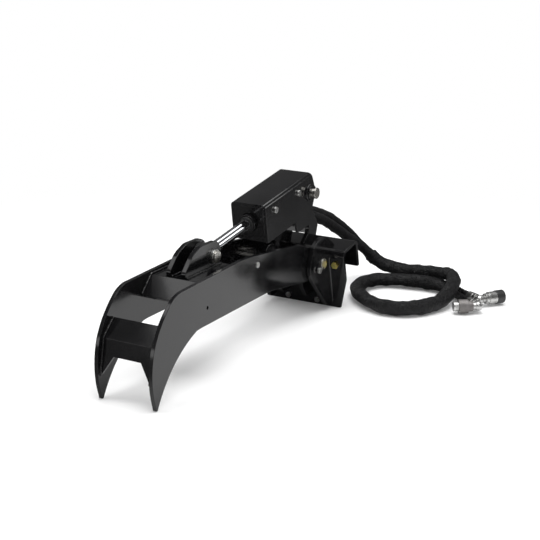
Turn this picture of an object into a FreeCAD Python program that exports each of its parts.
"""Grapple arm for a stump bucket: saddle mount, two-tine arm, guarded hydraulic cylinder and hoses.

Frame: X is across the machine, the arm points along -Y, Z is up and z = 0 is the floor.
The origin is the centre of the mounting plate's bottom edge. Lengths are in millimetres.
"""
import FreeCAD, Part
import math
import os

import Sketcher

from FreeCAD import Placement, Rotation, Vector

X_AXIS = Vector(1, 0, 0)
Y_AXIS = Vector(0, 1, 0)
Z_AXIS = Vector(0, 0, 1)

DIMENSIONS = [
    ("pivot_y", -73.0, "arm pivot, behind the arm's hub"),
    ("pivot_z", 143.0, "arm pivot height"),
    ("base_pin_y", -69.0, "cylinder base pin"),
    ("base_pin_z", 336.0, "cylinder base pin height"),
    ("rod_pin_y", -520.0, "cylinder rod pin"),
    ("rod_pin_z", 270.0, "cylinder rod pin height"),
    ("side_clear", 0.6, "gap between flat faces that turn past each other"),
    ("fit_clear", 0.05, "radial clearance of a pin in its bore"),
    ("saddle_lean", 11.3, "forward lean of the saddle in degrees"),
    ("saddle_wall", 10.0, "plate thickness of the saddle"),
    ("saddle_outer", 90.0, "saddle depth over both legs"),
    ("saddle_height", 176.0, "saddle height along the front leg"),
    ("saddle_rear_drop", 81.0, "length of the rear leg from the top"),
    ("saddle_bend", 18.0, "outer bend radius of the saddle"),
    ("saddle_margin", 45.5, "saddle beyond the outer ears"),
    ("saddle_foot_in", 24.0, "how much narrower each side of the front leg is at the floor"),
    ("saddle_shoulder", 87.0, "height where the front leg reaches full width"),
    ("clamp_bolt_out", 18.5, "clamp bolt from the outer ear"),
    ("clamp_bolt_drop", 42.0, "clamp bolt below the saddle's top"),
    ("clamp_bolt_dia", 12.0, "clamp bolt shank"),
    ("foot_bolt_x", 46.0, "lower bolt from the centre plane"),
    ("foot_bolt_w", 15.0, "lower bolt height along the front leg"),
    ("foot_bolt_dia", 10.0, "lower bolt shank"),
    ("hole_clear", 0.5, "radial clearance of a bolt in its hole"),
    ("ear_wall", 12.0, "plate thickness of the outer ears"),
    ("ear_lobe", 68.0, "outer ear radius about the pivot"),
    ("tower_wall", 12.0, "plate thickness of the tower plates"),
    ("tower_lobe", 30.0, "tower radius about the base pin"),
    ("arm_half", 80.0, "half width over the arm plates"),
    ("arm_wall", 10.0, "plate thickness of the arm"),
    ("arm_hub", 36.0, "arm plate radius about the pivot"),
    ("hub_boss_radius", 28.0, "outer radius of the welded hub tube"),
    ("bush_wall", 3.0, "wall of the pivot bushes"),
    ("tip_y", -848.0, "tine tip"),
    ("beam_top", 251.0, "top of the arm beam behind the knee"),
    ("beam_bottom", 139.0, "underside of the arm beam"),
    ("beam_front", 590.0, "front end of the straight underside, from the pivot"),
    ("beam_rear", 254.0, "rear end of the straight underside, from the pivot"),
    ("beam_crown", 384.0, "where the top edge starts to fall, from the pivot"),
    ("web_wall", 10.0, "plate thickness of the front web"),
    ("notch_half", 37.5, "half width of the notch between the tines"),
    ("notch_top", 107.0, "height of the notch between the tines"),
    ("web_top", 183.0, "top of the front web"),
    ("web_foot", 58.0, "lowest point of the web's legs"),
    ("cross_wall", 10.0, "plate thickness of the cross plate"),
    ("cross_top", 244.0, "top face of the cross plate"),
    ("cross_front_y", -645.0, "bend line of the cross plate"),
    ("cross_rear_y", -484.0, "rear edge of the cross plate"),
    ("rod_ear_gap", 30.0, "gap between the rod ears"),
    ("rod_ear_wall", 12.0, "plate thickness of the rod ears"),
    ("rod_ear_lobe", 36.0, "rod ear radius about the rod pin"),
    ("pivot_pin_dia", 30.0, "pivot pin"),
    ("pivot_pin_stand", 6.0, "pivot pin beyond the outer ear"),
    ("cyl_pin_dia", 25.4, "rod pin and base pin"),
    ("pin_head_dia", 30.0, "head of the rod pin and base pin"),
    ("pin_head_wall", 5.0, "thickness of those heads"),
    ("rod_pin_stand", 8.0, "collar width beside the rod ears"),
    ("barrel_dia", 60.0, "cylinder barrel outside"),
    ("barrel_tube_wall", 4.6, "wall of the cylinder tube"),
    ("barrel_front", 222.0, "front end of the barrel from the base pin"),
    ("barrel_rear", 36.0, "rear end of the barrel from the base pin"),
    ("cap_wall", 16.0, "length of the end cap"),
    ("gland_length", 26.0, "gland collar length"),
    ("gland_nose", 13.0, "gland nose length"),
    ("gland_nose_dia", 46.0, "gland nose outside"),
    ("rod_dia", 28.0, "piston rod"),
    ("piston_wall", 20.0, "piston length"),
    ("piston_end_gap", 4.0, "gap between piston and gland when extended"),
    ("base_eye_width", 30.0, "width of the base eye"),
    ("base_eye_radius", 25.0, "outer radius of the base eye"),
    ("rod_eye_width", 28.0, "width of the rod eye"),
    ("rod_eye_radius", 30.0, "outer radius of the rod eye"),
    ("rod_eye_play", 7.2, "radial play of the rod eye about its pin"),
    ("guard_half", 51.6, "half width of the cylinder guard"),
    ("guard_wall", 8.0, "plate thickness of the guard"),
    ("guard_top", 51.0, "top of the guard above the cylinder axis"),
    ("guard_bottom", 54.0, "underside of the guard below the cylinder axis"),
    ("guard_front", 237.0, "front face of the guard from the base pin"),
    ("guard_rear", 27.0, "rear reach of the guard behind the base pin"),
    ("guard_tab", 88.0, "lowest reach of the rear tab below the axis"),
    ("guard_bend", 12.0, "outer bend radius of the guard"),
    ("guard_bolt_front", 191.0, "front guard bolt from the base pin"),
    ("guard_bolt_rear", 66.0, "rear guard bolt from the base pin"),
    ("guard_bolt_up", 23.0, "guard bolts above the cylinder axis"),
    ("guard_bolt_dia", 10.0, "guard bolt shank"),
    ("hose_dia", 22.0, "hose outside"),
    ("sleeve_dia", 45.0, "textile sleeve round both hoses"),
    ("ferrule_dia", 26.0, "crimped ferrule outside"),
    ("coupler_dia", 38.0, "flat-face coupler body"),
]

doc = FreeCAD.newDocument("grapple_arm")
sheet = doc.addObject("Spreadsheet::Sheet", "Sheet")
for line, (alias, size, note) in enumerate(DIMENSIONS, start=1):
    sheet.set(f"A{line}", alias)
    sheet.set(f"B{line}", str(size))
    sheet.set(f"C{line}", note)
    sheet.setAlias(f"B{line}", alias)
doc.recompute()


def size(alias):
    """Value of one named cell."""
    return float(sheet.get(alias))


NODES = []


def keep(item, label):
    """Name an object after its node and list it for export."""
    item.Label = label
    NODES.append(item)
    return item


def bind(item, **paths):
    """Bind properties to sheet expressions; a double underscore stands for a dot."""
    for path, text in paths.items():
        item.setExpression(path.replace("__", "."), text)
    return item


# Outlines


def corner_arc(before, corner, after, radius):
    """Tangent points and middle of the arc that rounds a corner between two straight runs."""
    back = (before - corner).normalize()
    ahead = (after - corner).normalize()
    half = back.getAngle(ahead) / 2
    reach = radius / math.tan(half)
    centre = corner + (back + ahead).normalize() * (radius / math.sin(half))
    start = corner + back * reach
    end = corner + ahead * reach
    middle = centre + (corner - centre).normalize() * radius
    return start, middle, end


def outline(steps):
    """Closed outline in a sketch plane.

    A step is (a, b) or (a, b, radius) for a corner, or ("arc", (a, b), (a, b)) for an arc through
    a middle point to its end.
    """
    spots = []
    for step in steps:
        if step[0] == "arc":
            spots.append(("arc", Vector(*step[1], 0), Vector(*step[2], 0)))
        else:
            radius = step[2] if len(step) == 3 else 0.0
            spots.append(("corner", Vector(step[0], step[1], 0), radius))

    def place(index):
        spot = spots[index % len(spots)]
        return spot[2] if spot[0] == "arc" else spot[1]

    edges = []
    first = None
    here = None
    for index, spot in enumerate(spots):
        if spot[0] == "arc":
            edges.append(Part.Arc(here, spot[1], spot[2]))
            here = spot[2]
            continue
        if spot[2] > 0:
            start, middle, end = corner_arc(place(index - 1), spot[1], place(index + 1), spot[2])
            if here is not None and start.distanceToPoint(here) > 1e-6:
                edges.append(Part.LineSegment(here, start))
            edges.append(Part.Arc(start, middle, end))
            first = start if first is None else first
            here = end
        else:
            if here is not None:
                edges.append(Part.LineSegment(here, spot[1]))
            first = spot[1] if first is None else first
            here = spot[1]
    if here.distanceToPoint(first) > 1e-6:
        edges.append(Part.LineSegment(here, first))
    return edges


def plane_of(body, role):
    """Origin plane of a body by its role."""
    return [plane for plane in body.Origin.OriginFeatures if plane.Role == role][0]


def plate(name, steps, width, plane="YZ_Plane", holes=(), midplane=False):
    """Flat plate: an outline with round holes, padded to a bound thickness.

    A hole is (a, b, radius expression). Returns the body.
    """
    body = doc.addObject("PartDesign::Body", name)
    sketch = body.newObject("Sketcher::SketchObject", name + "_sketch")
    sketch.AttachmentSupport = (plane_of(body, plane), [""])
    sketch.MapMode = "FlatFace"
    for edge in outline(steps):
        sketch.addGeometry(edge, False)
    for across, up, radius in holes:
        ring = sketch.addGeometry(Part.Circle(Vector(across, up, 0), Z_AXIS, 1.0), False)
        spot = sketch.addConstraint(Sketcher.Constraint("Radius", ring, 1.0))
        sketch.setExpression(f"Constraints[{spot}]", radius)
    pad = body.newObject("PartDesign::Pad", name + "_pad")
    pad.Profile = sketch
    pad.Midplane = midplane
    pad.setExpression("Length", width)
    sketch.Visibility = False
    return body


def bar_x(name, radius, length, start, across="0", up="0"):
    """Round bar along X from a bound start."""
    bar = doc.addObject("Part::Cylinder", name)
    bar.Placement = Placement(Vector(0, 0, 0), Rotation(Y_AXIS, 90))
    return bind(bar, Radius=radius, Height=length, Placement__Base__x=start,
                Placement__Base__y=across, Placement__Base__z=up)


def bar_y(name, radius, length, start, across="0", up="0"):
    """Round bar along -Y, from the plane y = -start."""
    bar = doc.addObject("Part::Cylinder", name)
    bar.Placement = Placement(Vector(0, 0, 0), Rotation(X_AXIS, 90))
    return bind(bar, Radius=radius, Height=length, Placement__Base__y="-(" + start + ")",
                Placement__Base__x=across, Placement__Base__z=up)


def bar_z(name, radius, length, start, across="0", back="0"):
    """Round bar along Z from a bound start."""
    bar = doc.addObject("Part::Cylinder", name)
    return bind(bar, Radius=radius, Height=length, Placement__Base__z=start,
                Placement__Base__x=across, Placement__Base__y=back)


def block(name, length, width, height, x_low, y_low, z_low):
    """Box with bound sides and corner."""
    box = doc.addObject("Part::Box", name)
    return bind(box, Length=length, Width=width, Height=height, Placement__Base__x=x_low,
                Placement__Base__y=y_low, Placement__Base__z=z_low)


def cut(name, base, *tools):
    """Base less one or more tools."""
    result = base
    for number, tool in enumerate(tools):
        step = doc.addObject("Part::Cut", f"{name}_cut{number}")
        step.Base = result
        step.Tool = tool
        result = step
    return result


def fuse(name, *parts):
    """Several pieces welded into one."""
    if len(parts) == 1:
        return parts[0]
    joined = doc.addObject("Part::MultiFuse", name + "_fuse")
    joined.Shapes = list(parts)
    joined.Refine = True
    return joined


def common(name, first, second):
    """Shared part of two pieces."""
    shared = doc.addObject("Part::MultiCommon", name + "_common")
    shared.Shapes = [first, second]
    return shared


def group(name, *parts):
    """Like pieces that share a node and stay separate solids."""
    together = doc.addObject("Part::Compound", name + "_set")
    together.Links = list(parts)
    return together


def set_on(item, origin, angle):
    """Turn a finished piece about X by a bound angle and carry it to a bound origin."""
    item.Placement = Placement(Vector(0, 0, 0), Rotation(X_AXIS, 1.0))
    return bind(item, Placement__Rotation__Angle=angle, Placement__Base__y=origin[0],
                Placement__Base__z=origin[1])


# Derived places

LEAN = math.radians(size("saddle_lean"))
SADDLE_FRONT_Y = -size("saddle_wall") / math.cos(LEAN) / 2
SADDLE_ORIGIN = (f"-Sheet.saddle_wall / cos(Sheet.saddle_lean * 1 deg) / 2", "0")
SADDLE_ANGLE = "Sheet.saddle_lean * 1 deg"

PIVOT = Vector(0, size("pivot_y"), size("pivot_z"))
BASE_PIN = Vector(0, size("base_pin_y"), size("base_pin_z"))
ROD_PIN = Vector(0, size("rod_pin_y"), size("rod_pin_z"))
CYL_LENGTH = BASE_PIN.distanceToPoint(ROD_PIN)
CYL_TILT = math.degrees(math.atan2(BASE_PIN.z - ROD_PIN.z, BASE_PIN.y - ROD_PIN.y))
CYL_ORIGIN = ("Sheet.base_pin_y", "Sheet.base_pin_z")
CYL_ANGLE = ("atan2(Sheet.base_pin_z - Sheet.rod_pin_z; Sheet.base_pin_y - Sheet.rod_pin_y)")

ARM_INNER = size("arm_half") - size("arm_wall")
EAR_INNER = size("arm_half") + 2.5 * size("side_clear")
EAR_OUTER = EAR_INNER + size("ear_wall")
SADDLE_HALF = EAR_OUTER + size("saddle_margin")
GUARD_INNER = size("guard_half") - size("guard_wall")
TOWER_OUTER = GUARD_INNER - size("side_clear")
TOWER_INNER = TOWER_OUTER - size("tower_wall")
EAR_INNER_TEXT = "Sheet.arm_half + 2.5 * Sheet.side_clear"
EAR_OUTER_TEXT = f"({EAR_INNER_TEXT} + Sheet.ear_wall)"
SADDLE_HALF_TEXT = f"({EAR_OUTER_TEXT} + Sheet.saddle_margin)"
BOLT_UP = {"clamp": "(Sheet.saddle_height - Sheet.clamp_bolt_drop)", "foot": "Sheet.foot_bolt_w"}
BOLT_ACROSS = {"clamp": f"({EAR_OUTER_TEXT} + Sheet.clamp_bolt_out)", "foot": "Sheet.foot_bolt_x"}
ARM_INNER_TEXT = "(Sheet.arm_half - Sheet.arm_wall)"
TOWER_OUTER_TEXT = "(Sheet.guard_half - Sheet.guard_wall - Sheet.side_clear)"
TOWER_INNER_TEXT = "(" + TOWER_OUTER_TEXT + " - Sheet.tower_wall)"
CAP_REAR_TEXT = "(Sheet.barrel_rear - Sheet.cap_wall)"
EYE_LENGTH_TEXT = ("sqrt((Sheet.base_pin_y - Sheet.rod_pin_y)^2 + (Sheet.base_pin_z - Sheet.rod_pin_z)^2)")


def saddle_point(back, up):
    """Point of the leaning saddle frame in the side view, as (y, z)."""
    y = SADDLE_FRONT_Y + back * math.cos(LEAN) - up * math.sin(LEAN)
    z = back * math.sin(LEAN) + up * math.cos(LEAN)
    return y, z


def cyl_point(ahead, up):
    """Point of the cylinder frame in the side view, as (y, z)."""
    tilt = math.radians(CYL_TILT)
    y = BASE_PIN.y - ahead * math.cos(tilt) - up * math.sin(tilt)
    z = BASE_PIN.z - ahead * math.sin(tilt) + up * math.cos(tilt)
    return y, z


# Saddle mount


def saddle_profile(outer_only=False):
    """Inverted channel: front leg to the floor, short rear leg; the envelope has no inside."""
    wall = size("saddle_wall")
    depth = size("saddle_outer")
    top = size("saddle_height")
    bend = size("saddle_bend")
    rear = top - size("saddle_rear_drop")
    if outer_only:
        return [(0, -40), (0, top, bend), (depth, top, bend), (depth, -40)]
    slope = math.tan(LEAN)
    return [
        (0, 0), (0, top, bend), (depth, top, bend), (depth, rear), (depth - wall, rear),
        (depth - wall, top - wall, bend - wall), (wall, top - wall, bend - wall), (wall, -wall * slope),
    ]


def make_saddle():
    """Bent mounting plate with chamfered lower corners and bolt holes."""
    half = SADDLE_HALF
    foot = half - size("saddle_foot_in")
    shoulder = size("saddle_shoulder")
    channel = plate("saddle_channel", saddle_profile(), f"2 * {SADDLE_HALF_TEXT}", midplane=True)
    face = [(-foot, -5), (foot, -5), (half, shoulder), (half, 2 * size("saddle_height")),
            (-half, 2 * size("saddle_height")), (-half, shoulder)]
    front = plate("saddle_face", face, "4 * Sheet.saddle_outer", plane="XZ_Plane", midplane=True)
    formed = common("saddle", channel, front)
    holes = []
    for side in (-1, 1):
        for kind in ("clamp", "foot"):
            holes.append(bar_y(
                f"saddle_{kind}_hole{side}", f"Sheet.{kind}_bolt_dia / 2 + Sheet.hole_clear",
                "4 * Sheet.saddle_wall", "-2 * Sheet.saddle_wall", f"{side} * {BOLT_ACROSS[kind]}",
                BOLT_UP[kind]))
    saddle = cut("saddle", formed, *holes)
    keep(set_on(saddle, SADDLE_ORIGIN, SADDLE_ANGLE), "mount_saddle")


def saddle_envelope(name):
    """Solid that fills the saddle's outside, used to notch what is welded to it."""
    body = plate(name, saddle_profile(outer_only=True), f"4 * {SADDLE_HALF_TEXT}", midplane=True)
    return set_on(body, SADDLE_ORIGIN, SADDLE_ANGLE)


def make_outer_ears():
    """Ears outside the arm, notched over the front corner of the saddle."""
    lobe = size("ear_lobe")
    y, z = PIVOT.y, PIVOT.z
    steps = [
        saddle_point(40, size("saddle_height") - 1),
        (y + 26, z + 70, 20),
        (y - 8, z + 79, 60),
        (y - 0.83 * lobe, z + 0.78 * lobe, 30),
        ("arc", (y - lobe, z + 8), (y - 0.78 * lobe, z - 0.55 * lobe)),
        (y + 32, 14),
        saddle_point(20, 14),
    ]
    for side, word in ((-1, "left"), (1, "right")):
        bore = [(y, z, "Sheet.pivot_pin_dia / 2 + Sheet.fit_clear")]
        ear = plate(f"outer_ear_blank_{word}", steps, "Sheet.ear_wall", holes=bore)
        start = EAR_INNER_TEXT if side > 0 else f"-({EAR_INNER_TEXT} + Sheet.ear_wall)"
        bind(ear, Placement__Base__x=start)
        keep(cut(f"outer_ear_{word}", ear, saddle_envelope(f"ear_notch_{word}")), f"outer_ear_{word}")


def make_towers():
    """Inner ears that reach up between the guard's sides to the cylinder base pin."""
    y, z = PIVOT.y, PIVOT.z
    top_y, top_z = BASE_PIN.y, BASE_PIN.z
    lobe = size("tower_lobe")
    steps = [
        (y + 9, z - 103, 8),
        (y - 24, z - 62, 60),
        (y - 27, z + 40, 60),
        (y + 34, z + 96, 26),
        (top_y - lobe, top_z - 56, 60),
        (top_y - lobe, top_z + lobe, lobe - 0.5),
        (top_y + lobe, top_z + lobe, lobe - 0.5),
        (top_y + lobe + 2, top_z - 56, 60),
        (top_y + 65, top_z - 102, 14),
        saddle_point(14, size("saddle_height") - 2),
        saddle_point(20, 40),
    ]
    for side, word in ((-1, "left"), (1, "right")):
        bores = [
            (y, z, "Sheet.pivot_pin_dia / 2 + Sheet.fit_clear"),
            (top_y, top_z, "Sheet.cyl_pin_dia / 2 + Sheet.fit_clear"),
        ]
        tower = plate(f"tower_blank_{word}", steps, "Sheet.tower_wall", holes=bores)
        start = TOWER_INNER_TEXT if side > 0 else f"-{TOWER_OUTER_TEXT}"
        bind(tower, Placement__Base__x=start)
        keep(cut(f"tower_{word}", tower, saddle_envelope(f"tower_notch_{word}")), f"tower_plate_{word}")


def make_saddle_bolts():
    """Hexagon bolts and nuts at the front leg's upper corners, and lower button bolts with nuts."""
    heads = []
    nuts = []
    for side in (-1, 1):
        across = f"{side} * {BOLT_ACROSS['clamp']}"
        up = BOLT_UP["clamp"]
        head = doc.addObject("Part::Prism", f"clamp_head{side}")
        head.Polygon = 6
        head.Placement = Placement(Vector(0, 0, 0), Rotation(X_AXIS, 90))
        bind(head, Circumradius="Sheet.clamp_bolt_dia * 0.87", Height="Sheet.clamp_bolt_dia * 0.63",
             Placement__Base__x=across, Placement__Base__z=up)
        shank = bar_y(f"clamp_shank{side}", "Sheet.clamp_bolt_dia / 2",
                      "Sheet.saddle_wall + 1.2 * Sheet.clamp_bolt_dia",
                      "-(Sheet.saddle_wall + 1.2 * Sheet.clamp_bolt_dia)", across, up)
        heads.append(fuse(f"clamp_bolt{side}", head, shank))
        nut = doc.addObject("Part::Prism", f"clamp_nut_blank{side}")
        nut.Polygon = 6
        nut.Placement = Placement(Vector(0, 0, 0), Rotation(X_AXIS, -90))
        bind(nut, Circumradius="Sheet.clamp_bolt_dia * 0.87", Height="Sheet.clamp_bolt_dia * 0.8",
             Placement__Base__x=across, Placement__Base__z=up, Placement__Base__y="Sheet.saddle_wall")
        thread = bar_y(f"clamp_thread{side}", "Sheet.clamp_bolt_dia / 2 + Sheet.fit_clear",
                       "4 * Sheet.clamp_bolt_dia", "-(Sheet.saddle_wall + 2 * Sheet.clamp_bolt_dia)",
                       across, up)
        nuts.append(cut(f"clamp_nut{side}", nut, thread))
    keep(set_on(group("clamp_bolts", *heads), SADDLE_ORIGIN, SADDLE_ANGLE), "clamp_bolts")
    keep(set_on(group("clamp_nuts", *nuts), SADDLE_ORIGIN, SADDLE_ANGLE), "clamp_nuts")
    buttons = []
    for side in (-1, 1):
        across = f"{side} * Sheet.foot_bolt_x"
        up = BOLT_UP["foot"]
        head = bar_y(f"foot_head{side}", "Sheet.foot_bolt_dia * 0.8", "Sheet.foot_bolt_dia * 0.5", "0",
                     across, up)
        shank = bar_y(f"foot_shank{side}", "Sheet.foot_bolt_dia / 2",
                      "Sheet.saddle_wall + Sheet.foot_bolt_dia",
                      "-(Sheet.saddle_wall + Sheet.foot_bolt_dia)", across, up)
        nut = bar_y(f"foot_nut{side}", "Sheet.foot_bolt_dia * 0.85", "Sheet.foot_bolt_dia * 0.7",
                    "-(Sheet.saddle_wall + Sheet.foot_bolt_dia * 0.7)", across, up)
        buttons.append(fuse(f"foot_bolt{side}", head, shank, nut))
    keep(set_on(group("foot_bolts", *buttons), SADDLE_ORIGIN, SADDLE_ANGLE), "foot_bolts")


def make_pivot_pin():
    """Pin through ears, arm hubs and towers, with a welded flag and its bolt on the right."""
    y, z = "Sheet.pivot_y", "Sheet.pivot_z"
    half = f"({EAR_INNER_TEXT} + Sheet.ear_wall + Sheet.pivot_pin_stand)"
    shaft = bar_x("pivot_shaft", "Sheet.pivot_pin_dia / 2", f"2 * {half}", f"-{half}", y, z)
    keep(shaft, "pivot_pin")
    flags = []
    bolts = []
    pin = size("pivot_pin_dia")
    corners = [(0.67, 0.27, 0.4), (0.27, 0.73, 0.4), (-0.8, 0.4, 0.4), (-1.33, -0.4, 0.3), (-0.73, -0.87, 0.3),
               (0.4, -0.67, 0.4)]
    flag_steps = [(PIVOT.y + pin * a, PIVOT.z + pin * b, pin * c) for a, b, c in corners]
    for side in (-1, 1):
        bores = [
            (PIVOT.y, PIVOT.z, "Sheet.pivot_pin_dia / 2 + Sheet.fit_clear"),
            (PIVOT.y - 0.86 * pin, PIVOT.z - 0.4 * pin, "Sheet.foot_bolt_dia / 2 + Sheet.fit_clear"),
        ]
        flag = plate(f"pivot_flag{side}", flag_steps, "Sheet.pivot_pin_stand / 2", holes=bores)
        outer = f"({EAR_INNER_TEXT} + Sheet.ear_wall)"
        start = outer if side > 0 else f"-({outer} + Sheet.pivot_pin_stand / 2)"
        bind(flag, Placement__Base__x=start)
        flags.append(flag)
        head_start = f"({outer} + Sheet.pivot_pin_stand / 2)"
        bolt_y = "Sheet.pivot_y - 0.86 * Sheet.pivot_pin_dia"
        bolt_z = "Sheet.pivot_z - 0.4 * Sheet.pivot_pin_dia"
        head = bar_x(f"flag_head{side}", "Sheet.foot_bolt_dia * 0.8", "Sheet.foot_bolt_dia * 0.6",
                     head_start if side > 0 else f"-{head_start} - Sheet.foot_bolt_dia * 0.6", bolt_y, bolt_z)
        shank = bar_x(f"flag_shank{side}", "Sheet.foot_bolt_dia / 2", "Sheet.pivot_pin_stand / 2",
                      outer if side > 0 else f"-{head_start}", bolt_y, bolt_z)
        bolts.append(fuse(f"flag_bolt{side}", head, shank))
    keep(group("pivot_flags", *flags), "pivot_pin_flags")
    keep(group("flag_bolts", *bolts), "flag_bolts")


# Arm


def arm_steps():
    """Side outline of an arm plate: blunt tip, curved tine, knee, tapering beam and hub."""
    tip = size("tip_y")
    top = size("beam_top")
    under = size("beam_bottom")
    hub = size("arm_hub")
    y, z = PIVOT.y, PIVOT.z
    start = (tip - 4, 8)
    over = Vector(y - 104 - y, top - 30 - z, 0)
    turn = math.atan2(over.y, over.x) - math.acos(hub / over.Length)
    top_tangent = (y + hub * math.cos(turn), z + hub * math.sin(turn))
    below = Vector(-57.0, under - 33 - z, 0)
    turn_low = math.atan2(below.y, below.x) + math.acos(hub / below.Length)
    low_tangent = (y + hub * math.cos(turn_low), z + hub * math.sin(turn_low))
    return [
        start,
        ("arc", (tip - 15, 78), (tip - 4, 144)),
        ("arc", (tip + 24, 192), (tip + 60, top - 22)),
        ("arc", (tip + 81, top - 8), (tip + 108, top - 1)),
        (y - size("beam_crown"), top + 5, 500),
        (y - 104, top - 30, 40),
        top_tangent,
        ("arc", (y + hub, z), low_tangent),
        (y - 57, under - 33),
        (y - size("beam_rear"), under - 3),
        (y - size("beam_rear") - 20, under - 2),
        (y - size("beam_front"), under),
        (y - size("beam_front") - 16, under - 1),
        ("arc", (tip + 62, 76), (tip + 6, 6)),
        (tip + 3, 0, 3),
        (tip - 3, 0, 3),
    ]


def make_arm_plates():
    """Two mirrored side plates."""
    y, z = PIVOT.y, PIVOT.z
    bores = [
        (y, z, "Sheet.pivot_pin_dia / 2 + Sheet.bush_wall + 2 * Sheet.fit_clear"),
        (size("tip_y") + 216, size("beam_bottom") + 42, "4"),
        (y - 329, size("beam_top") - 26, "Sheet.foot_bolt_dia / 2 + Sheet.fit_clear"),
    ]
    for side, word in ((-1, "left"), (1, "right")):
        side_plate = plate(f"arm_blank_{word}", arm_steps(), "Sheet.arm_wall", holes=bores)
        start = ARM_INNER_TEXT if side > 0 else "-Sheet.arm_half"
        bind(side_plate, Placement__Base__x=start)
        keep(side_plate, f"arm_plate_{word}")


def bent_plate(points, wall):
    """Side profile of a bent plate: the front line of points and its copy set back by the wall."""
    front = [Vector(a, b, 0) for a, b in points]
    normals = []
    for first, second in zip(front[:-1], front[1:]):
        along = (second - first).normalize()
        normals.append(Vector(along.y, -along.x, 0))
    back = [front[0] + normals[0] * wall]
    for index in range(1, len(front) - 1):
        mean = (normals[index - 1] + normals[index]).normalize()
        back.append(front[index] + mean * (wall / mean.dot(normals[index])))
    back.append(front[-1] + normals[-1] * wall)
    return [(spot.x, spot.y) for spot in front + back[::-1]]


def make_front_web():
    """Bent web between the tines, with a notch that leaves a tapering leg along each tine."""
    tip = size("tip_y")
    foot = size("web_foot")
    line = [(tip - 8, foot), (tip + 10, 146), (tip + 52, size("web_top"))]
    formed = plate("web_blank", bent_plate(line, size("web_wall")), f"2 * {ARM_INNER_TEXT}", midplane=True)
    notch = size("notch_half")
    top = size("notch_top")
    steps = [
        (ARM_INNER + 5, foot - 10), (ARM_INNER + 5, size("web_top") + 30),
        (-ARM_INNER - 5, size("web_top") + 30), (-ARM_INNER - 5, foot - 10), (-ARM_INNER, foot - 2),
        (-notch, top, 3), (notch, top, 3), (ARM_INNER, foot - 2),
    ]
    front = plate("web_face", steps, "10 * Sheet.web_top", plane="XZ_Plane", midplane=True)
    keep(common("web", formed, front), "front_web")


def make_cross_plate():
    """Bent cross plate under the rod ears."""
    wall = size("cross_wall")
    bend = size("cross_front_y")
    top = size("cross_top")
    line = [(bend - 42, top - 40), (bend, top), (size("cross_rear_y"), top)]
    profile = bent_plate(line, wall)
    folded = plate("cross_blank", profile, f"2 * {ARM_INNER_TEXT}", midplane=True)
    slot = block("cross_slot", "Sheet.rod_ear_gap", "200", "4 * Sheet.cross_wall", "-Sheet.rod_ear_gap / 2",
                 "Sheet.rod_pin_y - Sheet.rod_eye_radius - 1.6 * Sheet.rod_eye_play",
                 "Sheet.cross_top - 2 * Sheet.cross_wall")
    keep(cut("cross_plate", folded, slot), "cross_plate")


def make_rod_ears():
    """Ears on the cross plate for the rod pin."""
    y, z = ROD_PIN.y, ROD_PIN.z
    lobe = size("rod_ear_lobe")
    top = size("cross_top")
    front = size("cross_front_y") + 2
    steps = [
        (front, top), (front - 1, top + 14, 12), (y - 88, z + 24, 60), (y - 50, z + lobe + 2, 40),
        (y + lobe, z + lobe, lobe - 0.5), (y + lobe, z - 4, 20), (y + lobe - 6, top),
    ]
    bore = [(y, z, "Sheet.cyl_pin_dia / 2 + Sheet.fit_clear")]
    for side, word in ((-1, "left"), (1, "right")):
        ear = plate(f"rod_ear_blank_{word}", steps, "Sheet.rod_ear_wall", holes=bore)
        start = "Sheet.rod_ear_gap / 2" if side > 0 else "-(Sheet.rod_ear_gap / 2 + Sheet.rod_ear_wall)"
        bind(ear, Placement__Base__x=start)
        keep(ear, f"rod_ear_{word}")


def make_hubs():
    """Hub tubes welded inside the arm plates, and their bushes."""
    y, z = "Sheet.pivot_y", "Sheet.pivot_z"
    inner_end = "(Sheet.guard_half - Sheet.guard_wall + Sheet.side_clear)"
    bushes = []
    for side, word in ((-1, "left"), (1, "right")):
        length = f"({ARM_INNER_TEXT} - {inner_end})"
        start = inner_end if side > 0 else f"-{ARM_INNER_TEXT}"
        tube = bar_x(f"hub_blank_{word}", "Sheet.hub_boss_radius", length, start, y, z)
        hollow = bar_x(f"hub_bore_{word}", "Sheet.pivot_pin_dia / 2 + Sheet.bush_wall + 2 * Sheet.fit_clear",
                       "Sheet.arm_half", start, y, z)
        keep(cut(f"hub_{word}", tube, hollow), f"hub_tube_{word}")
        bush_length = f"(Sheet.arm_half - {inner_end})"
        bush_start = inner_end if side > 0 else "-Sheet.arm_half"
        bush = bar_x(f"bush_blank_{word}", "Sheet.pivot_pin_dia / 2 + Sheet.bush_wall + Sheet.fit_clear",
                     bush_length, bush_start, y, z)
        bush_bore = bar_x(f"bush_bore_{word}", "Sheet.pivot_pin_dia / 2 + Sheet.fit_clear",
                          bush_length, bush_start, y, z)
        bushes.append(cut(f"bush_{word}", bush, bush_bore))
    keep(group("bushes", *bushes), "pivot_bushes")


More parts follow.
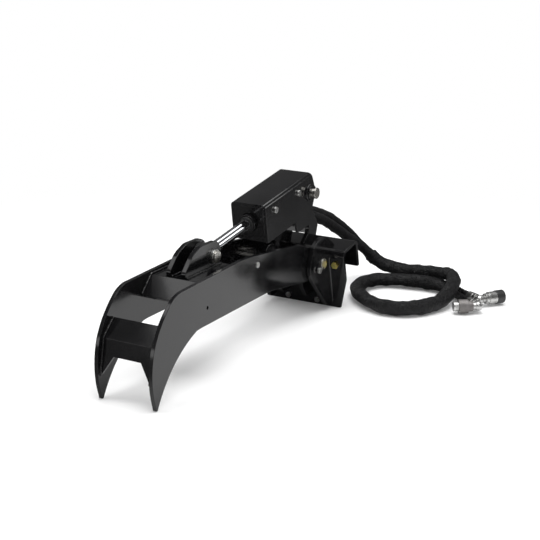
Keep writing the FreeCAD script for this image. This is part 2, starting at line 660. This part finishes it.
def make_rod_pin():
    """Rod pin with a head on the right and a retaining washer on the left."""
    y, z = "Sheet.rod_pin_y", "Sheet.rod_pin_z"
    ear = "(Sheet.rod_ear_gap / 2 + Sheet.rod_ear_wall)"
    end = f"({ear} + Sheet.rod_pin_stand)"
    shaft = bar_x("rod_pin_shaft", "Sheet.cyl_pin_dia / 2", f"2 * {end} + Sheet.pin_head_wall", f"-{end} - Sheet.pin_head_wall", y, z)
    head = bar_x("rod_pin_head", "Sheet.pin_head_dia / 2", "Sheet.pin_head_wall", end, y, z)
    keep(fuse("rod_pin", shaft, head), "rod_pin")
    rings = []
    for side in (-1, 1):
        start = ear if side > 0 else f"-{end}"
        ring = bar_x(f"rod_collar{side}", "Sheet.pin_head_dia / 2 + 3", "Sheet.rod_pin_stand", start, y, z)
        hole = bar_x(f"rod_collar_bore{side}", "Sheet.cyl_pin_dia / 2 + Sheet.fit_clear",
                     "Sheet.rod_pin_stand", start, y, z)
        rings.append(cut(f"rod_collar_ring{side}", ring, hole))
    washer = bar_x("rod_clip", "Sheet.pin_head_dia / 2", "Sheet.pin_head_wall",
                   f"-{end} - Sheet.pin_head_wall", y, z)
    hole = bar_x("rod_clip_bore", "Sheet.cyl_pin_dia / 2 + Sheet.fit_clear", "Sheet.pin_head_wall",
                 f"-{end} - Sheet.pin_head_wall", y, z)
    rings.append(cut("rod_clip_ring", washer, hole))
    keep(group("rod_collars", *rings), "rod_pin_collars")


def make_side_bolts():
    """Button bolts in the arm plates' sides."""
    bolts = []
    y = f"Sheet.pivot_y - 329"
    z = "Sheet.beam_top - 26"
    for side in (-1, 1):
        head = bar_x(f"side_head{side}", "Sheet.foot_bolt_dia * 0.75", "4",
                     "Sheet.arm_half" if side > 0 else "-Sheet.arm_half - 4", y, z)
        shank = bar_x(f"side_shank{side}", "Sheet.foot_bolt_dia / 2", "Sheet.arm_wall",
                      ARM_INNER_TEXT if side > 0 else "-Sheet.arm_half", y, z)
        bolts.append(fuse(f"side_bolt{side}", head, shank))
    keep(group("side_bolts", *bolts), "arm_side_bolts")


# Cylinder, modelled along -Y from the base pin and then tilted


def on_cylinder(item, label):
    """Carry a piece of the cylinder frame to its place and keep it."""
    return keep(set_on(item, CYL_ORIGIN, CYL_ANGLE), label)


def make_barrel():
    """Honed tube, end cap with base eye, gland, and port bosses."""
    length = "Sheet.barrel_front - Sheet.barrel_rear"
    tube = bar_y("barrel_tube", "Sheet.barrel_dia / 2", length, "Sheet.barrel_rear")
    hollow = bar_y("barrel_bore", "Sheet.barrel_dia / 2 - Sheet.barrel_tube_wall", length, "Sheet.barrel_rear")
    on_cylinder(cut("barrel", tube, hollow), "cylinder_barrel")

    cap = bar_y("cap_disc", "Sheet.barrel_dia / 2", "Sheet.cap_wall", CAP_REAR_TEXT)
    eye = bar_x("eye_round", "Sheet.base_eye_radius", "Sheet.base_eye_width", "-Sheet.base_eye_width / 2")
    neck = block("eye_neck", "Sheet.base_eye_width", f"{CAP_REAR_TEXT} + 2", "1.6 * Sheet.base_eye_radius",
                 "-Sheet.base_eye_width / 2", f"-({CAP_REAR_TEXT} + 2)", "-0.8 * Sheet.base_eye_radius")
    hole = bar_x("eye_hole", "Sheet.cyl_pin_dia / 2 + Sheet.bush_wall + Sheet.fit_clear",
                 "2 * Sheet.base_eye_width", "-Sheet.base_eye_width")
    on_cylinder(cut("base_eye", fuse("base_eye", cap, eye, neck), hole), "base_cap_eye")

    bush = bar_x("base_bush_blank", "Sheet.cyl_pin_dia / 2 + Sheet.bush_wall", "Sheet.base_eye_width",
                 "-Sheet.base_eye_width / 2")
    bush_hole = bar_x("base_bush_hole", "Sheet.cyl_pin_dia / 2 + Sheet.fit_clear", "Sheet.base_eye_width",
                      "-Sheet.base_eye_width / 2")
    on_cylinder(cut("base_bush", bush, bush_hole), "base_eye_bush")

    collar = bar_y("gland_collar", "Sheet.barrel_dia / 2", "Sheet.guard_front - Sheet.guard_wall - Sheet.barrel_front",
                   "Sheet.barrel_front")
    spigot = bar_y("gland_spigot", "Sheet.barrel_dia / 2 - Sheet.barrel_tube_wall - Sheet.fit_clear", "Sheet.gland_length",
                   "Sheet.barrel_front - Sheet.gland_length")
    nose = bar_y("gland_front", "Sheet.gland_nose_dia / 2", "Sheet.guard_wall + Sheet.gland_nose",
                 "Sheet.guard_front - Sheet.guard_wall")
    rod_hole = bar_y("gland_hole", "Sheet.rod_dia / 2 + Sheet.fit_clear",
                     "Sheet.gland_length + 4 * Sheet.gland_nose",
                     "Sheet.barrel_front - Sheet.gland_length")
    on_cylinder(cut("gland", fuse("gland", collar, spigot, nose), rod_hole), "cylinder_gland")

    wiper = bar_y("wiper_blank", "Sheet.rod_dia / 2 + 5", "3", "Sheet.guard_front + Sheet.gland_nose")
    wiper_hole = bar_y("wiper_hole", "Sheet.rod_dia / 2 + Sheet.fit_clear", "3",
                       "Sheet.guard_front + Sheet.gland_nose")
    on_cylinder(cut("wiper", wiper, wiper_hole), "rod_wiper")


def make_rod():
    """Chrome rod with piston, and the rod eye with play about its pin."""
    stop = "(Sheet.barrel_front - Sheet.gland_length - Sheet.piston_end_gap)"
    rod = bar_y("rod_bar", "Sheet.rod_dia / 2",
                f"{EYE_LENGTH_TEXT} - Sheet.rod_eye_radius * 0.82 - {stop}", stop)
    stud = bar_y("rod_stud", "Sheet.rod_dia * 0.4", "Sheet.piston_wall + Sheet.rod_dia * 0.6",
                 f"{stop} - Sheet.piston_wall - Sheet.rod_dia * 0.6")
    on_cylinder(fuse("rod", rod, stud), "piston_rod")
    eye = bar_x("rod_eye_round", "Sheet.rod_eye_radius", "Sheet.rod_eye_width", "-Sheet.rod_eye_width / 2",
                f"-{EYE_LENGTH_TEXT}")
    hole = bar_x("rod_eye_hole", "Sheet.cyl_pin_dia / 2 + Sheet.rod_eye_play", "2 * Sheet.rod_eye_width",
                 "-Sheet.rod_eye_width", f"-{EYE_LENGTH_TEXT}")
    rod_tool = bar_y("rod_eye_cut", "Sheet.rod_dia / 2",
                     f"{EYE_LENGTH_TEXT} - Sheet.rod_eye_radius * 0.82", "0")
    on_cylinder(cut("rod_eye", eye, hole, rod_tool), "rod_eye")
    disc = bar_y("piston_disc", "Sheet.barrel_dia / 2 - Sheet.barrel_tube_wall - Sheet.fit_clear", "Sheet.piston_wall",
                 f"{stop} - Sheet.piston_wall")
    core = bar_y("piston_core", "Sheet.rod_dia * 0.4", "Sheet.piston_wall", f"{stop} - Sheet.piston_wall")
    on_cylinder(cut("piston", disc, core), "piston")
    nut = bar_y("piston_nut_blank", "Sheet.rod_dia * 0.62", "Sheet.rod_dia * 0.5",
                f"{stop} - Sheet.piston_wall - Sheet.rod_dia * 0.5")
    thread = bar_y("piston_nut_hole", "Sheet.rod_dia * 0.4", "Sheet.rod_dia * 0.5",
                   f"{stop} - Sheet.piston_wall - Sheet.rod_dia * 0.5")
    on_cylinder(cut("piston_nut", nut, thread), "piston_nut")


def make_ports():
    """Elbows under the barrel, the pipe to its front port, and crimped ferrules."""
    elbows = []
    ferrules = []
    for side in (-1, 1):
        drop = f"(Sheet.barrel_dia / 2 + {PORT_DROP[side]})"
        across = f"{side} * 13.5"
        stub = bar_z(f"elbow_stub{side}", "9", drop, f"-{drop}", across, "-50")
        round_cut = bar_y(f"elbow_cut{side}", "Sheet.barrel_dia / 2", "Sheet.guard_front", "0")
        run = bar_y(f"elbow_run{side}", "9", "12", "38", across, f"-{drop}")
        ball = doc.addObject("Part::Sphere", f"elbow_ball{side}")
        bind(ball, Radius="9", Placement__Base__x=across, Placement__Base__y="-50", Placement__Base__z=f"-{drop}")
        elbows.append(fuse(f"elbow{side}", cut(f"elbow{side}", stub, round_cut), run, ball))
        ferrules.append(bar_y(f"port_ferrule{side}", "Sheet.ferrule_dia / 2", "16", "22", across, f"-{drop}"))
    on_cylinder(group("port_ferrules", *ferrules), "port_ferrules")
    front = bar_z("front_port_stub", "9", "18", "-(Sheet.barrel_dia / 2 + 15)", "13.5", "-200")
    front_cut = bar_y("front_port_cut", "Sheet.barrel_dia / 2", "Sheet.guard_front", "0")
    elbows.append(cut("front_port", front, front_cut))
    on_cylinder(group("port_elbows", *elbows), "port_elbows")
    on_cylinder(group("pipe", bar_y("pipe_bar", "5", "132", "59", "13.5", "-(Sheet.barrel_dia / 2 + 9)")),
                "transfer_pipe")


def guard_section():
    """Front view of the folded cover: top and two sides."""
    half = size("guard_half")
    wall = size("guard_wall")
    top = size("guard_top")
    low = -size("guard_tab") - 5
    bend = size("guard_bend")
    return [
        (-half, low), (-half, top, bend), (half, top, bend), (half, low), (half - wall, low),
        (half - wall, top - wall, bend - wall), (-half + wall, top - wall, bend - wall), (-half + wall, low),
    ]


def guard_side():
    """Side view of the cover, y to the rear: straight front, rear tab and rounded heel."""
    front = -size("guard_front")
    rear = size("guard_rear")
    top = size("guard_top") + 1
    low = -size("guard_bottom")
    tab = -size("guard_tab")
    return [
        (front, top), (rear - 12, top), (rear, top - 40, 40), (rear, -18, 24), (rear - 22, low + 4, 10),
        (-14, low - 2), (-16, tab, 4), (-80, tab + 2, 4), (-84, low, 3), (front, low + 1),
    ]


def make_guard():
    """Folded cover over the barrel, front plate, pin bosses and mounting hardware."""
    long_text = "Sheet.guard_front + 2 * Sheet.guard_rear"
    section = plate("guard_section", guard_section(), long_text, plane="XZ_Plane")
    bind(section, Placement__Base__y="2 * Sheet.guard_rear")
    holes = [(0, 0, "Sheet.cyl_pin_dia / 2 + Sheet.fit_clear")]
    for place in ("guard_bolt_front", "guard_bolt_rear"):
        holes.append((-size(place), size("guard_bolt_up"), "Sheet.guard_bolt_dia / 2 + Sheet.hole_clear"))
    side = plate("guard_side", guard_side(), "4 * Sheet.guard_half", holes=holes, midplane=True)
    on_cylinder(common("guard", section, side), "guard_cover")

    inner = "(Sheet.guard_half - Sheet.guard_wall)"
    face = block("front_blank", f"2 * {inner}", "Sheet.guard_wall", "Sheet.guard_top - Sheet.guard_wall + Sheet.guard_bottom - 3",
                 f"-{inner}", "-Sheet.guard_front", "-Sheet.guard_bottom + 3")
    corner = doc.addObject("Part::Fillet", "front_fillet")
    corner.Base = face
    edges = []
    doc.recompute()
    for number, edge in enumerate(face.Shape.Edges, start=1):
        ends = [v.Point for v in edge.Vertexes]
        along_y = abs(ends[0].y - ends[1].y) > 1
        if along_y and ends[0].z > 0:
            edges.append((number, size("guard_bend") - size("guard_wall"), size("guard_bend") - size("guard_wall")))
    corner.Edges = edges
    hole = bar_y("front_hole", "Sheet.gland_nose_dia / 2 + 1", "3 * Sheet.guard_wall",
                 "Sheet.guard_front - 2 * Sheet.guard_wall")
    on_cylinder(cut("guard_front_plate", corner, hole), "guard_front_plate")

    bosses = []
    for side_sign in (-1, 1):
        start = "Sheet.guard_half" if side_sign > 0 else "-Sheet.guard_half - Sheet.guard_wall"
        ring = bar_x(f"guard_boss{side_sign}", "Sheet.cyl_pin_dia / 2 + 8", "Sheet.guard_wall", start)
        bore = bar_x(f"guard_boss_bore{side_sign}", "Sheet.cyl_pin_dia / 2 + Sheet.fit_clear",
                     "Sheet.guard_wall", start)
        bosses.append(cut(f"guard_boss_ring{side_sign}", ring, bore))
    on_cylinder(group("guard_bosses", *bosses), "guard_pin_bosses")

    blocks = []
    bolts = []
    for word in ("front", "rear"):
        for side_sign in (-1, 1):
            name = f"{word}{side_sign}"
            pad = block(f"pad_{name}", f"{inner} - 8", "26", "26",
                        "8" if side_sign > 0 else f"-{inner}",
                        f"-Sheet.guard_bolt_{word} - 13", "Sheet.guard_bolt_up - 13")
            round_cut = bar_y(f"pad_cut_{name}", "Sheet.barrel_dia / 2", "2 * Sheet.guard_front", "-10")
            thread = bar_x(f"pad_thread_{name}", "Sheet.guard_bolt_dia / 2 + Sheet.fit_clear",
                           "Sheet.guard_half", "8" if side_sign > 0 else "-Sheet.guard_half - 8",
                           f"-Sheet.guard_bolt_{word}", "Sheet.guard_bolt_up")
            blocks.append(cut(f"pad_{name}", pad, round_cut, thread))
            head = bar_x(f"guard_head_{name}", "Sheet.guard_bolt_dia * 0.85", "6",
                         "Sheet.guard_half" if side_sign > 0 else "-Sheet.guard_half - 6",
                         f"-Sheet.guard_bolt_{word}", "Sheet.guard_bolt_up")
            shank = bar_x(f"guard_shank_{name}", "Sheet.guard_bolt_dia / 2", "Sheet.guard_wall + 14",
                          f"{inner} - 14" if side_sign > 0 else "-Sheet.guard_half",
                          f"-Sheet.guard_bolt_{word}", "Sheet.guard_bolt_up")
            bolts.append(fuse(f"guard_bolt_{name}", head, shank))
    on_cylinder(group("guard_pads", *blocks), "guard_mount_pads")
    on_cylinder(group("guard_bolts", *bolts), "guard_bolts")


def make_base_pin():
    """Base pin with head, left washer and the spacers beside the base eye."""
    y, z = "Sheet.base_pin_y", "Sheet.base_pin_z"
    end = "(Sheet.guard_half + Sheet.guard_wall + Sheet.side_clear + 8)"
    shaft = bar_x("base_pin_shaft", "Sheet.cyl_pin_dia / 2", f"2 * {end} + Sheet.pin_head_wall", f"-{end} - Sheet.pin_head_wall", y, z)
    head = bar_x("base_pin_head", "Sheet.pin_head_dia / 2", "Sheet.pin_head_wall", end, y, z)
    keep(fuse("base_pin", shaft, head), "base_pin")
    washer = bar_x("base_clip", "Sheet.pin_head_dia / 2", "Sheet.pin_head_wall",
                   f"-{end} - Sheet.pin_head_wall", y, z)
    hole = bar_x("base_clip_bore", "Sheet.cyl_pin_dia / 2 + Sheet.fit_clear", "Sheet.pin_head_wall",
                 f"-{end} - Sheet.pin_head_wall", y, z)
    spacers = [cut("base_clip_ring", washer, hole)]
    eye = "(Sheet.base_eye_width / 2 + Sheet.side_clear / 2)"
    length = f"({TOWER_INNER_TEXT} - {eye})"
    for side in (-1, 1):
        start = eye if side > 0 else f"-{TOWER_INNER_TEXT}"
        tube = bar_x(f"spacer{side}", "Sheet.cyl_pin_dia / 2 + 5", length, start, y, z)
        bore = bar_x(f"spacer_bore{side}", "Sheet.cyl_pin_dia / 2 + Sheet.fit_clear", length, start, y, z)
        spacers.append(cut(f"spacer_ring{side}", tube, bore))
    keep(group("spacers", *spacers), "base_pin_collars")


# Hoses

MOUTH = Vector(65.8, 275.8, 83)
MOUTH_AXIS = Vector(0.544, 0.449, -0.709).normalize()
MOUTH_SIDE = Vector(0.637, -0.772, 0).normalize()
CUFF = 14.0
HOSE_APART = 11.2

MANIFOLD_DIP = 12.0
MANIFOLD_FRONT = Vector(0, -48, 296 - size("barrel_dia") / 2)
MANIFOLD_DEPTH = 12.0
UNION_AXIS = Vector(1.2, 24, -9.8).normalize()
UNION_LENGTH = 44.0
HOSE_ACROSS = 13.5
PORT_DROP = {-1: 28.0, 1: 37.0}
PORT_LEFT = Vector(-HOSE_ACROSS, *cyl_point(22, -size("barrel_dia") / 2 - PORT_DROP[-1]))
PORT_RIGHT = Vector(HOSE_ACROSS, *cyl_point(22, -size("barrel_dia") / 2 - PORT_DROP[1]))


def manifold_point(across, up, depth):
    """Point on the dipping manifold: across the machine, up its front face, and back into it."""
    dip = math.radians(MANIFOLD_DIP)
    return MANIFOLD_FRONT + Vector(across, depth * math.cos(dip) + up * math.sin(dip),
                                   up * math.cos(dip) - depth * math.sin(dip))


def jumper_route(port, up):
    """Port, one turning point and the manifold's front face, square to both ends."""
    across = port.x
    tilt = math.radians(CYL_TILT)
    end = manifold_point(across, up, 0)
    inlet = Vector(0, math.cos(tilt), math.sin(tilt))
    outlet = manifold_point(across, up, 1) - end
    gap = end - port
    share = (gap.y * outlet.z - gap.z * outlet.y) / (inlet.y * outlet.z - inlet.z * outlet.y)
    return [port, port + inlet * share, end]


JUMPER_UP = {-1: 8.8, 1: -0.2}
ROUTE_JUMPER_LEFT = jumper_route(PORT_LEFT, JUMPER_UP[-1])
ROUTE_JUMPER_RIGHT = jumper_route(PORT_RIGHT, JUMPER_UP[1])
LINK_TURN = manifold_point(HOSE_ACROSS, JUMPER_UP[1], MANIFOLD_DEPTH + 21)
UNION_START = LINK_TURN + UNION_AXIS * 24
ROUTE_LINK_RIGHT = [manifold_point(HOSE_ACROSS, JUMPER_UP[1], MANIFOLD_DEPTH), LINK_TURN, UNION_START]
ROUTE_HOSE_LEFT = [
    manifold_point(-HOSE_ACROSS, JUMPER_UP[-1], MANIFOLD_DEPTH),
    manifold_point(-HOSE_ACROSS, JUMPER_UP[-1], MANIFOLD_DEPTH + 42), (-14.5, 56, 250), (-12, 105, 232.5),
    (-4, 153, 210.5), (5.5, 200, 180), (18, 238.5, 147), MOUTH - MOUTH_SIDE * HOSE_APART - MOUTH_AXIS * 42.3,
    MOUTH - MOUTH_SIDE * HOSE_APART,
]

ROUTE_HOSE_RIGHT = [
    UNION_START + UNION_AXIS * UNION_LENGTH,
    UNION_START + UNION_AXIS * (UNION_LENGTH + 36), (21.5, 117, 198.5), (24.5, 156, 175.5),
    (30, 196, 149), (40.5, 230, 124.5), MOUTH + MOUTH_SIDE * HOSE_APART - MOUTH_AXIS * 30.9,
    MOUTH + MOUTH_SIDE * HOSE_APART,
]
ROUTE_SLEEVE = [
    MOUTH + MOUTH_AXIS * CUFF, MOUTH + MOUTH_AXIS * (CUFF + 26), (108.5, 305.9, 42.5), (137.4, 316.4, 34),
    (175, 322.5, 32), (213, 322, 34), (251, 317, 37.5), (291, 309, 44), (328, 290, 52), (355, 259, 56),
    (371, 220, 52), (377, 179, 42), (374, 138, 30.5), (364, 98, 24), (348, 60, 23), (321, 29, 23),
    (285, 9, 23), (246, 3, 23), (206, 13, 23), (169, 38, 23), (137, 69, 23), (110, 104, 23), (97, 140, 23),
    (97, 177, 23), (111, 208, 23), (137, 231, 23), (170, 245, 23), (206, 254, 23), (240, 259, 23),
    (272, 262, 23),
]
TAIL_AXIS = Vector(32, 3, 0).normalize()
TAIL_SIDE = Vector(-3, 32, 0).normalize()
TAIL_MOUTH = Vector(272, 262, 23) + TAIL_AXIS * CUFF
ROUTE_TAIL_NEAR = [
    TAIL_MOUTH - TAIL_SIDE * HOSE_APART, TAIL_MOUTH - TAIL_SIDE * HOSE_APART + TAIL_AXIS * 26,
    (343, 244, 14), (371, 227, 12.5), (398, 204, 12.5), (425, 179, 16),
]
ROUTE_TAIL_FAR = [
    TAIL_MOUTH + TAIL_SIDE * HOSE_APART, TAIL_MOUTH + TAIL_SIDE * HOSE_APART + TAIL_AXIS * 26,
    (340, 270.5, 14.5), (364, 261, 12.5), (386, 247, 12.5), (407, 230, 15.5),
]


def route_wire(points):
    """Straight runs joined by tangent arcs, with the arc radii."""
    spots = [Vector(*point) for point in points]
    edges = []
    radii = []
    here = spots[0]
    for before, spot, after in zip(spots[:-2], spots[1:-1], spots[2:]):
        shorter = min(before.distanceToPoint(spot), after.distanceToPoint(spot))
        turn = (spot - before).getAngle(after - spot)
        radius = 0.45 * shorter / math.tan(turn / 2)
        start, middle, end = corner_arc(before, spot, after, radius)
        edges.append(Part.LineSegment(here, start).toShape())
        edges.append(Part.Arc(start, middle, end).toShape())
        radii.append(radius)
        here = end
    edges.append(Part.LineSegment(here, spots[-1]).toShape())
    return Part.Wire(edges), radii


def hose(label, points, diameter):
    """Round tube along a route; its volume is compared with section times length."""
    wire, radii = route_wire(points)
    start = Vector(*points[0])
    along = (Vector(*points[1]) - start).normalize()
    ring = Part.Wire([Part.Circle(start, along, diameter / 2).toShape()])
    solid = wire.makePipeShell([ring], True, True)
    ideal = math.pi * diameter ** 2 / 4 * wire.Length
    print(label, "length", round(wire.Length, 1), "radii", [round(radius) for radius in radii],
          "volume ratio", round(solid.Volume / ideal, 5))
    item = doc.addObject("Part::Feature", label + "_tube")
    item.Shape = solid
    return keep(item, label)


def turned(start, heading, *rings, bore=0.0):
    """Turned solid from a start point: rings of (length, radius) in a row, with one bore."""
    direction = Vector(*heading).normalize()
    place = Vector(*start)
    solid = None
    reach = 0.0
    for length, radius in rings:
        ring = Part.makeCylinder(radius, length, place, direction)
        solid = ring if solid is None else solid.fuse(ring)
        place = place + direction * length
        reach += length
    if bore:
        solid = solid.cut(Part.makeCylinder(bore, reach, Vector(*start), direction))
    return solid.removeSplitter()


def shaped(label, solid):
    """Keep a solid made in code as a node."""
    item = doc.addObject("Part::Feature", label + "_shape")
    item.Shape = solid
    return keep(item, label)


def run_heading(points):
    """Direction of a route's last run."""
    return (Vector(*points[-1]) - Vector(*points[-2])).normalize()


def make_coupling(word, route, nose, rings, tip):
    """Coupler at the end of a tail. Returns its ferrule with swivel nut and its right-angle elbow."""
    start = Vector(*route[-1])
    heading = run_heading(route)
    ferrule = turned(start, heading, (26, size("ferrule_dia") / 2), (3, 10.5), (13, 12.5))
    corner = start + heading * 56
    nose = Vector(*nose).normalize()
    stub = turned(start + heading * 42, heading, (14, 10))
    leg = turned(corner, nose, (16, 10))
    elbow = stub.fuse([Part.makeSphere(13, corner), leg]).removeSplitter()
    mouth = corner + nose * 16
    shaped(f"coupler_{word}", turned(mouth, nose, *rings))
    reach = sum(length for length, _ in rings)
    offset, length, radius, bore = tip
    shaped(f"coupler_tip_{word}", turned(mouth + nose * (reach + offset), nose, (length, radius), bore=bore))
    print("coupler", word, "mouth", mouth, "end", mouth + nose * (reach + offset + length), "nose", nose)
    return ferrule, elbow


def make_hoses():
    """Hoses from the cylinder to the sleeve, the sleeve, its cuffs, tails and couplers."""
    width = size("hose_dia")
    hose("jumper_left", ROUTE_JUMPER_LEFT, width)
    hose("jumper_right", ROUTE_JUMPER_RIGHT, width)
    half = TOWER_INNER
    face = MANIFOLD_FRONT
    bar = Part.makeBox(2 * half, MANIFOLD_DEPTH, 66, Vector(-half, 0, -49))
    bar.Placement = Placement(face, Rotation(X_AXIS, -MANIFOLD_DIP))
    shaped("hose_manifold", bar)
    hose("hose_left", ROUTE_HOSE_LEFT, width)
    hose("link_right", ROUTE_LINK_RIGHT, width)
    shaped("union_right", turned(UNION_START, UNION_AXIS, (15, 13), (3, 10), (8, 14.5), (3, 10), (15, 13)))
    hose("hose_right", ROUTE_HOSE_RIGHT, width)
    sleeve = size("sleeve_dia")
    front = turned(MOUTH, MOUTH_AXIS, (CUFF, sleeve / 2 + 0.4))
    hose("hose_sleeve", ROUTE_SLEEVE, sleeve)
    rear = turned(Vector(*ROUTE_SLEEVE[-1]), TAIL_AXIS, (CUFF, sleeve / 2 + 0.4))
    shaped("sleeve_cuffs", Part.makeCompound([front, rear]))
    hose("tail_near", ROUTE_TAIL_NEAR, width)
    hose("tail_far", ROUTE_TAIL_FAR, width)
    coupler = size("coupler_dia") / 2
    near = make_coupling("near", ROUTE_TAIL_NEAR, (-0.83, -0.56, 0), [(13, 15), (27, coupler)], (0, 14, 13.5, 0))
    far = make_coupling("far", ROUTE_TAIL_FAR, (0.6, 0.8, 0), [(10, 15), (24, coupler - 1.5)],
                        (0, 24, coupler, 14.2))
    shaped("tail_ferrules", Part.makeCompound([near[0], far[0]]))
    shaped("tail_elbows", Part.makeCompound([near[1], far[1]]))


make_saddle()
make_outer_ears()
make_towers()
make_saddle_bolts()
make_pivot_pin()
make_arm_plates()
make_front_web()
make_cross_plate()
make_rod_ears()
make_hubs()
make_rod_pin()
make_side_bolts()
make_barrel()
make_rod()
make_ports()
make_guard()
make_base_pin()
make_hoses()

doc.recompute()

faults = [item.Name for item in doc.Objects if {"Invalid", "Error"} & set(item.State)]
for item in NODES:
    shape = item.Shape
    if shape.isNull() or not shape.isValid() or not shape.Solids:
        faults.append(item.Label)
if faults:
    raise RuntimeError("failed objects: " + ", ".join(faults))

os.makedirs("parts", exist_ok=True)
for item in NODES:
    item.Shape.exportStep(f"parts/{item.Label}.step")
    box = item.Shape.BoundBox
    print(item.Label, len(item.Shape.Solids), "solids",
          [round(v, 1) for v in (box.XMin, box.YMin, box.ZMin, box.XMax, box.YMax, box.ZMax)])
